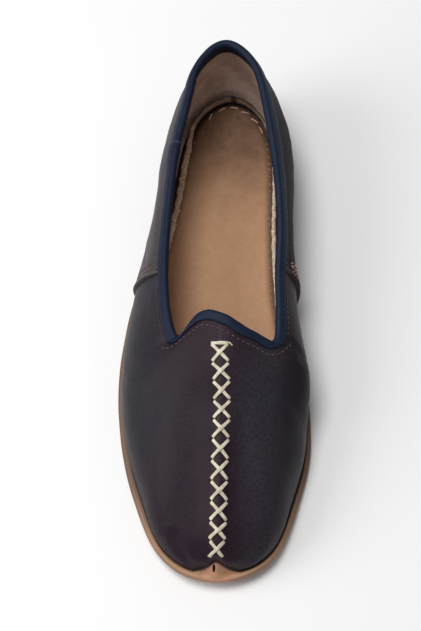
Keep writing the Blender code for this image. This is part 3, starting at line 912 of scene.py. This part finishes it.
def soleRings():
    # from the tread, round the edge, up over the beak to the seam and in under the upper
    u = sideStations(solePlan["stations"], solePlan["cleftStations"])
    share, thick, wall = cleftShare(u), form["soleThickness"], form["wall"]
    margin = ribCurve.at(u)[:, 9] + 0.18 * lumps(seamLine(u), 14, 2.0)
    rings, tags = [], {"rim": [], "tread": [], "tuck": []}

    def add(ring, rim=0.0, tread=0.0, tuck=0.0):
        rings.append(ring)
        for name, value in (("rim", rim), ("tread", tread), ("tuck", tuck)):
            tags[name].append(np.broadcast_to(value, len(u)).astype(float))

    def spot(out, high):
        return seamLine(u, out=out, lift=high - thick, cleft=False)

    def beakFace(t):
        # t runs from the edge's top to the foot of the upper
        ring = edgeTop + (foot - edgeTop) * t
        climb = (foot[:, 2] - edgeTop[:, 2]) * t ** (1.55 - 0.5 * share)
        arch, side = math.sin(math.pi * t), fromToe(u)
        ridge = solePlan["beakRidge"] * np.exp(-((side / 2.6) ** 2)) * arch**0.8
        hollow = solePlan["beakHollow"] * np.exp(-(((np.abs(side) - 6.0) / 3.0) ** 2)) * arch
        dip = solePlan["seamDip"] * smoothStep(0.72, 1.0, t) * (1 - share)
        ring[:, 2] = edgeTop[:, 2] + climb + ridge - hollow - dip
        return ring

    inner, edge = margin - solePlan["channel"], solePlan["edgeRound"]
    add(spot(inner - 2.0, 0.0), tread=1)
    add(spot(inner - 0.35, 0.0), tread=1)
    add(spot(inner, solePlan["channelDepth"]), tread=0.6)
    add(spot(inner + 0.35, 0.0), tread=1)
    add(spot(margin - edge, 0.0), tread=1)
    for angle, tread in ((22, 0.4), (45, 0), (68, 0), (90, 0)):
        across, up = edge * math.sin(math.radians(angle)), edge * math.cos(math.radians(angle))
        add(spot(margin - edge + across, edge - up), tread=tread)
    add(spot(margin + solePlan["edgeSwell"], thick * 0.5))
    add(spot(margin - 0.05, thick - edge))
    for angle in (30, 60, 90):
        across, up = edge * math.cos(math.radians(angle)), edge * math.sin(math.radians(angle))
        add(spot(margin - edge + across, thick - edge + up), rim=angle / 200)
    edgeTop, foot = rings[-1], seamLine(u, out=0.3)
    # up the beak's face, painted shade gathers towards the upper's foot
    for t in np.linspace(0, 1, 14)[1:]:
        rim = (0.25 + 0.75 * np.exp(-(((t - 0.12) / 0.2) ** 2))) * (1 - share * 0.4)
        add(beakFace(t), rim=rim, tuck=smoothStep(0.78, 0.95, t))
    # in under the upper the faces are painted in full shade
    plug = solePlan["plugLift"] * smoothStep(0, 0.15, share)
    add(seamLine(u, out=-wall / 2, lift=plug), rim=0.2, tuck=1)
    add(seamLine(u, out=-(wall + 0.4)), rim=0.2, tuck=1)
    add(spot(-(wall + 0.8) - (form["cleftSetback"] + 3.2) * share, thick), rim=0.2, tuck=0.5)
    tags["beak"] = np.exp(-((fromToe(u) / 9.0) ** 2))
    return rings, tags


soleLoops, wallTags = soleRings()
soleParts = [laidGrid("outsole", soleLoops, tags=wallTags)]
plates = {
    "soleBottom": (soleLoops[0], {"rim": 0, "tread": 1, "beak": 0, "tuck": 0}),
    # the bed under the upper is painted in half shade
    "soleBed": (soleLoops[-1], {"rim": 0.2, "tread": 0, "beak": 0, "tuck": 0.5}),
}
for name, (loop, tags) in plates.items():
    soleParts.append(laidGrid(name, plateAcross(loop, solePlan["across"]), False, tags))
outsole = smoothed(welded(joined("outsoleAndBeak", soleParts)), 45)
outsole.data.materials.append(soleLook)
outsole.data.materials.append(slitLook)

# the slit in the beak: a lens pressed through the leather
slitPlan = {"place": (3.3, -139.3), "half": (0.75, 2.2, 2.0), "lean": 6}
spot, facing = (Vector(found) for found in dropOn(*slitPlan["place"], treeOf(outsole)))
ball = {"segments": 20, "ring_count": 12, "radius": 1}
lens = added(bpy.ops.mesh.primitive_uv_sphere_add, location=spot * mm, **ball)
lens.scale = [half * mm for half in slitPlan["half"]]
slitAcross = Vector((1, math.tan(math.radians(-slitPlan["lean"])), 0)).normalized()
slitUp = (facing - facing.dot(slitAcross) * slitAcross).normalized()
lens.rotation_euler = Matrix((slitAcross, slitUp.cross(slitAcross), slitUp)).transposed().to_euler()
lens.data.materials.append(slitLook)
bpy.ops.object.transform_apply(location=True, rotation=True, scale=True)
applyModifier(outsole, "BOOLEAN", operation="DIFFERENCE", object=lens, solver="EXACT")
bpy.data.objects.remove(lens)
dressed(outsole, soleLook, "sole_leather", "outsole")
print("outsole laid:", len(outsole.data.polygons), "faces")

# ---- heel: two lifts and a top piece, cut to the sole's outline ----
heelPlan = {
    "columns": 90,
    "inset": 0.8,
    "hollow": 4.5,  # how far its front is scooped
    # height, how far in, and how much of the worn face's colour
    "profile": (
        (0.0, 0.9, 1.0), (0.25, 0.35, 0.5), (0.7, 0.05, 0.1), (2.05, 0.0, 0.0), (2.25, 0.3, 0.0),
        (2.45, 0.02, 0.0), (4.25, 0.0, 0.0), (4.45, 0.3, 0.0), (4.65, 0.0, 0.0), (6.45, 0.05, 0.0),
        (6.7, 0.3, 0.0),
    ),
}  # fmt: skip


def heelOutline(inset):
    outerSide = np.linspace(station["outerWaist"], 0, 400)
    innerSide = np.linspace(station["innerWaist"] - perimeter, 0, 400)
    breast = form["heelBreast"] + inset
    outer = np.interp(breast, ribCurve.at(outerSide)[:, 1], outerSide)
    inner = np.interp(breast, ribCurve.at(innerSide)[:, 1], innerSide)
    u = np.linspace(inner, outer, heelPlan["columns"])
    plan = seamLine(u, out=ribCurve.at(u)[:, 9] - heelPlan["inset"] - inset, cleft=False)[:, :2]
    share = np.linspace(0, 1, 26)[1:-1, None]
    front = plan[-1] + (plan[0] - plan[-1]) * share
    front[:, 1] += (heelPlan["hollow"] * (1 - (2 * share - 1) ** 2))[:, 0]
    return np.vstack([plan, front])


heelRings, heelTread = [], []
for height, inset, tread in heelPlan["profile"]:
    outline = heelOutline(inset)
    heelRings.append(np.column_stack([outline, np.full(len(outline), height)]))
    heelTread.append(tread)
heel = laidGrid("heelStack", heelRings, tags={"tread": np.array(heelTread)[:, None]})
welded(heel, outside=False)
pickOnly(heel)
bpy.ops.object.mode_set(mode="EDIT")
# close the bottom and the top
for wanted in (heelPlan["profile"][0][0], heelPlan["profile"][-1][0]):
    bpy.ops.mesh.select_all(action="DESELECT")
    bpy.ops.object.mode_set(mode="OBJECT")
    for vertex in heel.data.vertices:
        vertex.select = abs(vertex.co.z / mm - wanted) < 1e-4
    bpy.ops.object.mode_set(mode="EDIT")
    bpy.ops.mesh.select_mode(type="VERT")
    bpy.ops.mesh.edge_face_add()
bpy.ops.object.mode_set(mode="OBJECT")
editAll(heel, (bpy.ops.mesh.normals_make_consistent, {"inside": False}))
dressed(smoothed(heel, 35), heelLook, "heel_leather", "heel")
print("heel stacked")

# ---- insole: a soft sock with a pressed border ----
insolePlan = {
    "stations": 120,
    "cleftStations": 24,
    "across": 40,
    "inset": 4.4,
    "toeClearance": 7.0,
    "topHeight": 2.0,
    "thickness": 1.5,
    "dish": 0.9,
    "raise": 0.35,
    "unevenness": ((0.22, 24, 1.0), (0.05, 6, 6.0)),
    "edgeDrop": 0.55,
}
insoleU = sideStations(insolePlan["stations"], insolePlan["cleftStations"])
insoleInset = insolePlan["inset"] + insolePlan["toeClearance"] * np.sqrt(cleftShare(insoleU))
insoleInset += 0.35 * lumps(seamLine(insoleU), 11, 4.0)
insoleLift = form["gap"] + insolePlan["topHeight"]
top = seamLine(insoleU, out=-insoleInset, lift=insoleLift, cleft=False)
plate = plateAcross(top, insolePlan["across"])
share = np.linspace(0, 1, insolePlan["across"] + 1)
span = np.linalg.norm(plate[:, -1] - plate[:, 0], axis=1)[:, None]
fromEdge = np.minimum(share, 1 - share)[None, :] * span
for tip in (plate[0, 0, 1], plate[-1, 0, 1]):
    fromEdge = np.minimum(fromEdge, np.abs(plate[:, :, 1] - tip))
plate[:, :, 2] += insolePlan["raise"] - insolePlan["dish"] * smoothStep(0, 22, fromEdge)
flatPoints = plate.reshape(-1, 3)
uneven = sum(rise * lumps(flatPoints, size, seed) for rise, size, seed in insolePlan["unevenness"])
plate[:, :, 2] += uneven.reshape(plate.shape[:2])
plate[:, :, 2] -= insolePlan["edgeDrop"] * smoothStep(1.6, 0, fromEdge)
# the edge tag lays painted shade along the border against the wall
insole = welded(laidGrid("insoleSock", plate, False, {"edge": smoothStep(5, 0.5, fromEdge)}))
if insole.data.polygons[len(insole.data.polygons) // 2].normal.z < 0:
    editAll(insole, (bpy.ops.mesh.flip_normals, {}))
applyModifier(insole, "SOLIDIFY", thickness=insolePlan["thickness"] * mm, offset=-1)
dressed(smoothed(insole, 50), insoleLook, "insole_leather", "insole")
print("insole laid")

# ---- the turned-in seam edge round the insole, standing against the wall ----
# each row of sizes is for the outer side, the inner side and the heel
allowancePlan = {
    "columnStep": 0.9,
    "inwards": (5.3, 3.3, 3.0),  # from the wall's outer face to the middle of the roll
    "toeClearance": 7.5,
    "halfWidth": (1.65, 1.05, 0.85),
    "halfHeight": (1.15, 1.3, 4.3),
    "wave": 0.75,
    "waveShare": (1.0, 0.45, 0.25),
    "waveLength": 8.2,
    "overSole": 1.6,
    "fray": 0.10,
}
edgeU = np.arange(0, perimeter - 0.5, allowancePlan["columnStep"])
edgeFoot = seamLine(edgeU, lift=form["gap"])
atHeel = smoothStep(104, 127, edgeFoot[:, 1])
onOuter = smoothStep(2, -2, fromToe(edgeU)) * (1 - atHeel)
onInner = smoothStep(-2, 2, fromToe(edgeU)) * (1 - atHeel)


def bySide(size):
    outer, inner, heelSize = allowancePlan[size]
    return outer * onOuter + inner * onInner + heelSize * atHeel


wave = np.sin(edgeU * 2 * math.pi / allowancePlan["waveLength"] + 1.6 * lumps(edgeFoot, 21, 9.0))
wave = wave * 0.7 + 0.8 * lumps(edgeFoot, 5.5, 11.0)
sway = allowancePlan["wave"] * wave * bySide("waveShare")
across = bySide("halfWidth") * (1 + 0.2 * lumps(edgeFoot, 2.4, 13.0))
upright = bySide("halfHeight") * (1 + 0.16 * lumps(edgeFoot, 6.0, 7.0))
middleOut = -bySide("inwards") - allowancePlan["toeClearance"] * np.sqrt(cleftShare(edgeU))
onSole = seamLine(edgeU, out=middleOut, cleft=False)[:, 2]
onSole += form["gap"] + allowancePlan["overSole"]
seamRings = []
for angle in np.linspace(0, 360, 19)[:-1]:
    turn = math.radians(angle)
    up, flat = math.sin(turn), math.cos(turn)
    fray = allowancePlan["fray"] * lumps(edgeFoot, 1.3, 15.0 + angle) * max(0, up + 0.3)
    out = middleOut + sway * (0.4 + 0.6 * max(up, 0)) + across * flat
    out -= atHeel * upright * up * 0.10
    ring = seamLine(edgeU, out=out + fray, cleft=False)
    ring[:, 2] = onSole + upright * (1 + up) + fray
    seamRings.append(ring)
seamRings.append(seamRings[0])
allowance = smoothed(welded(laidGrid("turnedSeamEdge", seamRings)), 60)
dressed(allowance, edgeLook, "insole_leather")
print("seam edge laid")


# ---- stitches: one thread stitch is modelled once and copied along each row ----
def stitchTemplate(length, thickness):
    # a stitch lying along x, crowned in the middle, its ends sunk
    size = {"vertices": 8, "radius": thickness / 2, "depth": length}
    template = added(bpy.ops.mesh.primitive_cylinder_add, end_fill_type="TRIFAN", **size)
    laying = {"value": math.pi / 2, "orient_axis": "Y", "center_override": (0, 0, 0)}
    editAll(template, (bpy.ops.transform.rotate, laying))
    bpy.ops.object.mode_set(mode="EDIT")
    for cut in (-0.42, -0.25, 0, 0.25, 0.42):
        bpy.ops.mesh.select_all(action="SELECT")
        bpy.ops.mesh.bisect(plane_co=(cut * length, 0, 0), plane_no=(1, 0, 0))
    bpy.ops.object.mode_set(mode="OBJECT")
    for vertex in template.data.vertices:
        along = abs(vertex.co.x) / (length / 2)
        squeeze = 1 - 0.45 * along**3
        vertex.co.y *= squeeze
        vertex.co.z = vertex.co.z * squeeze + thickness * (0.42 - 1.0 * along**2.2)
    return template


def sewRow(name, line, stitch, thread, slotName, skew=0.0, jitter=0.0):
    # copies of one stitch at even steps along a line of points and the ways they face
    points, normals = line
    pitch, length, thickness = stitch
    step = np.concatenate([[0], np.cumsum(np.linalg.norm(np.diff(points, axis=0), axis=1))])
    template = stitchTemplate(length * mm, thickness * mm)
    copies = []

    def read(rows, place):
        return np.array([np.interp(place, step, rows[:, i]) for i in range(3)])

    for count, place in enumerate(np.arange(pitch * 0.5, step[-1] - pitch * 0.4, pitch)):
        place += jitter * noise.noise(Vector((count * 1.7, 0.3, 0.9)))
        spot, ahead, up = read(points, place), read(points, place + 0.8), unit(read(normals, place))
        along = unit(ahead - spot)
        along = unit(along - up * (along @ up))
        turn = math.radians(skew + 40 * jitter * noise.noise(Vector((count * 0.9, 2.3, 0.1))))
        along = along * math.cos(turn) + np.cross(up, along) * math.sin(turn)
        turnTo = Matrix(np.column_stack([along, np.cross(up, along), up]).tolist()).to_4x4()
        copies.append(stamped(template, Matrix.Translation(Vector(spot * mm)) @ turnTo))
    bpy.data.objects.remove(template)
    return dressed(smoothed(joined(name, copies), 60), thread, slotName)


# stitches are given by their pitch, length and thickness
collarStitch = (2.9, 2.2, 0.55)
# from and to along the seam, mm below the binding's edge, thread
collarRows = {
    "collarStitchesOuter": (0.0, station["outerJoint"] + 2, 1.6, collarThread),
    "throatStitches": (station["outerJoint"] + 4, station["innerInstep"] + 6, 2.6, roseThread),
    "collarStitchesInner": (station["innerInstep"] + 8, perimeter, 1.6, roseThread),
}
for name, (start, end, below, thread) in collarRows.items():
    u = np.arange(start, end, 1.0)
    line = skinPoint(u, 1 - bindingShare(u, extra=below))
    sewRow(name, line, collarStitch, thread, "upper_leather")
# rib, mm past it, stitch, thread, skew in degrees
quarterRows = {
    "outerQuarterStitches1": ("outerSeam", -3.4, (2.7, 2.1, 0.50), collarThread, 0),
    "outerQuarterStitches2": ("outerSeam", -6.4, (2.7, 2.1, 0.50), collarThread, 0),
    "innerQuarterStitches1": ("innerSeam", 2.8, (2.7, 3.05, 1.1), seamThread, 38),
    "innerQuarterStitches2": ("innerSeam", 5.6, (2.7, 3.05, 1.1), seamThread, -38),
    "innerQuarterStitches3": ("innerSeam", 8.4, (2.7, 2.85, 1.0), seamThread, 30),
}
for name, (seam, past, stitch, thread, skew) in quarterRows.items():
    line = skinPoint(np.full(60, station[seam] + past), np.linspace(0.04, 0.84, 60))
    sewRow(name, line, stitch, thread, "upper_leather", skew)
print("collar and quarter sewn")

insoleTree = treeOf(insole)
# from and to as (rib, mm past it), mm in from the seam, stitch, thread, skew in degrees
borderRows = {
    "heelBorderStitches": (
        ("innerHeel", 7), ("outerHeel", -11), 6.2, (7.6, 5.7, 1.0), peachThread, 5
    ),
    "outerBorderStitches": (
        ("outerBackCorner", 20), ("outerForefoot", 0), 6.9, (5.2, 3.0, 0.6), waxThread, 8
    ),
    "innerBorderStitches": (
        ("innerJoint", 0), ("innerHeel", 6), 6.0, (4.4, 2.2, 0.65), waxThread, 26
    ),
}  # fmt: skip
for name, (start, end, inset, stitch, thread, skew) in borderRows.items():
    first, last = station[start[0]] + start[1], station[end[0]] + end[1]
    u = np.arange(first - perimeter if first > last else first, last, 1.5)
    found = [dropOn(x, y, insoleTree) for x, y, _ in seamLine(u, out=-inset, cleft=False)]
    line = [np.array(part) for part in zip(*found)]
    sewRow(name, line, stitch, thread, "insole_leather", skew, 1.0)
print("inside sewn")

# ---- cross lacing: cream thong through pairs of holes down the vamp's centre line ----
lacingPlan = {
    "width": 1.75,
    "thickness": 0.85,
    "squareness": 0.55,  # flat faces with rounded edges
    "wobble": 0.09,
    "halfSpan": 4.15,
    "tie": 0.5,  # how far a hole lies from the line halfway to the next cross
    # the crossings, across and along, from the throat to the cleft
    "crossings": (
        (6.7, -40.0), (7.4, -48.5), (7.8, -57.6), (7.8, -66.8), (7.6, -75.9), (7.0, -85.7),
        (6.7, -96.0), (6.6, -105.7), (6.4, -115.3), (6.0, -124.6), (5.3, -132.3),
    ),
    "top": (6.7, -35.3),
    "bottom": (4.7, -135.6),
    "bar": (4.3575, 0.35),  # half its span, and how far it lies behind the top holes
    "tail": ((0.4, 0.3), (1.9, -1.1)),  # from the bar's end
}  # fmt: skip


def thong(name, start, end, arch, slim=1.0):
    # a flat strap that rises out of one hole, crosses over and sinks into the other
    places = np.linspace(0, 1, 17)
    path, faces = [], []
    for place in places:
        spot, facing = dropOn(*(start + (end - start) * place))
        hump = arch * math.exp(-(((place - 0.5) / 0.22) ** 2))
        sunk = max(0, 1 - place / 0.09) ** 1.5 + max(0, 1 - (1 - place) / 0.09) ** 1.5
        path.append(spot + facing * (hump + lacingPlan["thickness"] * 0.42 - sunk))
        faces.append(facing)
    path, faces = np.array(path), np.array(faces)
    along = unit(np.gradient(path, axis=0))
    across = unit(np.cross(faces, along))
    up = np.cross(along, across)
    width = 1 + lacingPlan["wobble"] * np.sin(places * 9 + start[0])
    width *= slim * lacingPlan["width"] / 2
    rings = []
    for turn in np.linspace(0, 2 * math.pi, 13)[:-1]:
        x, z = (
            math.copysign(abs(part) ** lacingPlan["squareness"], part)
            for part in (math.cos(turn), math.sin(turn))
        )
        rings.append(path + across * (x * width)[:, None] + up * z * lacingPlan["thickness"] / 2)
    rings = np.array(rings).transpose(1, 0, 2)
    # both ends are closed to their middles
    caps = [np.tile(ring.mean(axis=0), (len(ring), 1)) for ring in (rings[0], rings[-1])]
    return welded(laidGrid(name, np.concatenate([[caps[0]], rings, [caps[1]]])))


crossings, lastCross = np.array(lacingPlan["crossings"]), len(lacingPlan["crossings"]) - 1
holeRows = (crossings[:-1] + crossings[1:]) / 2
holeRows = np.vstack([[lacingPlan["top"]], holeRows, [lacingPlan["bottom"]]])
straps, holes = [], []
for i, (above, below) in enumerate(zip(holeRows[:-1], holeRows[1:])):
    # the crosses narrow a little towards the toe, the last one most
    half = 1 - 0.04 * i / len(crossings) - (0.12 if i == lastCross else 0)
    half *= lacingPlan["halfSpan"]
    gapAbove = 0.0 if i == 0 else lacingPlan["tie"]
    gapBelow = 0.0 if i == lastCross else lacingPlan["tie"]
    upperLeft, upperRight = above + (-half, -gapAbove), above + (half, -gapAbove)
    lowerLeft, lowerRight = below + (-half, gapBelow), below + (half, gapBelow)
    straps.append(thong(f"thongUnder{i}", upperLeft, lowerRight, 0.15))
    straps.append(thong(f"thongOver{i}", lowerLeft, upperRight, 0.95))
    holes += [(upperLeft, -1), (upperRight, 1), (lowerLeft, -1), (lowerRight, 1)]
barHalf, barBack = lacingPlan["bar"]
barStart, barEnd = holeRows[0] + (-barHalf, barBack), holeRows[0] + (barHalf, barBack)
tailStart, tailEnd = (barEnd + step for step in lacingPlan["tail"])
straps.append(thong("thongBar", barStart, barEnd, 0.25))
straps.append(thong("thongTail", tailStart, tailEnd, 0.1, 0.36))
dressed(smoothed(joined("crossLacing", straps), 55), thongLook, "upper_leather")

# awl marks beside the thong's holes: flat marks in the slit's painted shadow colour, for the shade
# in each hole
markPlan = {"aside": 1.1, "half": (0.55, 0.32, 0.12)}
mark = added(bpy.ops.mesh.primitive_uv_sphere_add, segments=12, ring_count=8, radius=1)
flatten = Matrix.Diagonal([half * mm for half in markPlan["half"]] + [1])
marks = []
for (x, y), side in holes:
    spot, facing = dropOn(x + side * markPlan["aside"], y)
    turnTo = Vector(facing).to_track_quat("Z", "Y").to_matrix().to_4x4()
    marks.append(stamped(mark, Matrix.Translation(Vector(spot * mm)) @ turnTo @ flatten))
bpy.data.objects.remove(mark)
dressed(smoothed(joined("awlMarks", marks), 60), slitLook, "upper_leather")
print("laced:", len(straps), "thongs")

# ---- floor, light and camera ----
floorPlan = {"size": 8, "paper": (0.95, 0.95, 0.95), "rough": 0.9}
floor = added(bpy.ops.mesh.primitive_plane_add, size=floorPlan["size"])
floor.name = "floorSweep"
paper = Recipe("palePaper").finish(Base_Color=floorPlan["paper"], Roughness=floorPlan["rough"])
floor.data.materials.append(paper)

# seats and sizes in metres
lampPlan = {
    "overheadSoftbox": {"seat": (-0.21, 0.10, 1.35), "size": 0.62, "watts": 10.4},
    "leftWindowSoftbox": {"seat": (-1.00, -0.16, 0.72), "size": 0.9, "watts": 6.9},
}
lampAim = Vector((0, 0, 0.02))
for name, plan in lampPlan.items():
    lamp = added(bpy.ops.object.light_add, type="AREA", location=plan["seat"])
    lamp.name = name
    lamp.data.shape, lamp.data.size, lamp.data.energy = "DISK", plan["size"], plan["watts"]
    lamp.rotation_euler = (lampAim - Vector(plan["seat"])).to_track_quat("-Z", "Y").to_euler()
skyPlan = {"Color": (1, 1, 1, 1), "Strength": 0.28}
world = bpy.data.worlds.new("studioAir")
bpy.context.scene.world = world
world.use_nodes = True
for name, value in skyPlan.items():
    world.node_tree.nodes["Background"].inputs[name].default_value = value
bpy.context.scene.view_settings.view_transform = "Standard"

cameraPlan = {
    "seat": (53.7, -298.1, 656.5),  # the photograph's own place over the shoe
    "aim": (-1.0, -5.5, 26.0),
    "lens": 74.5,
    # the line that stands nearly upright in the picture, from the beak to the back of the collar
    "beak": (4.5, -144.0, 6.0),
    "collarBack": (1.3, 141.0, 67.0),
    "lean": -0.1,  # how far in degrees the camera is rolled from that line
}
seat, aim = Vector(cameraPlan["seat"]), Vector(cameraPlan["aim"])
ahead = (aim - seat).normalized()
heelward = Vector(cameraPlan["collarBack"]) - Vector(cameraPlan["beak"])
heelward = (heelward - heelward.dot(ahead) * ahead).normalized()
lean = math.radians(cameraPlan["lean"])
upward = heelward * math.cos(lean) - ahead.cross(heelward) * math.sin(lean)
camera = added(bpy.ops.object.camera_add, location=seat * mm)
camera.name = "photoCamera"
turn = Matrix((ahead.cross(upward), upward, -ahead)).transposed()
camera.rotation_euler = turn.to_euler()
camera.data.sensor_fit, camera.data.sensor_height = "VERTICAL", 36
camera.data.lens = cameraPlan["lens"]
camera.data.clip_start = 0.01
bpy.context.scene.camera = camera
print("stage set")
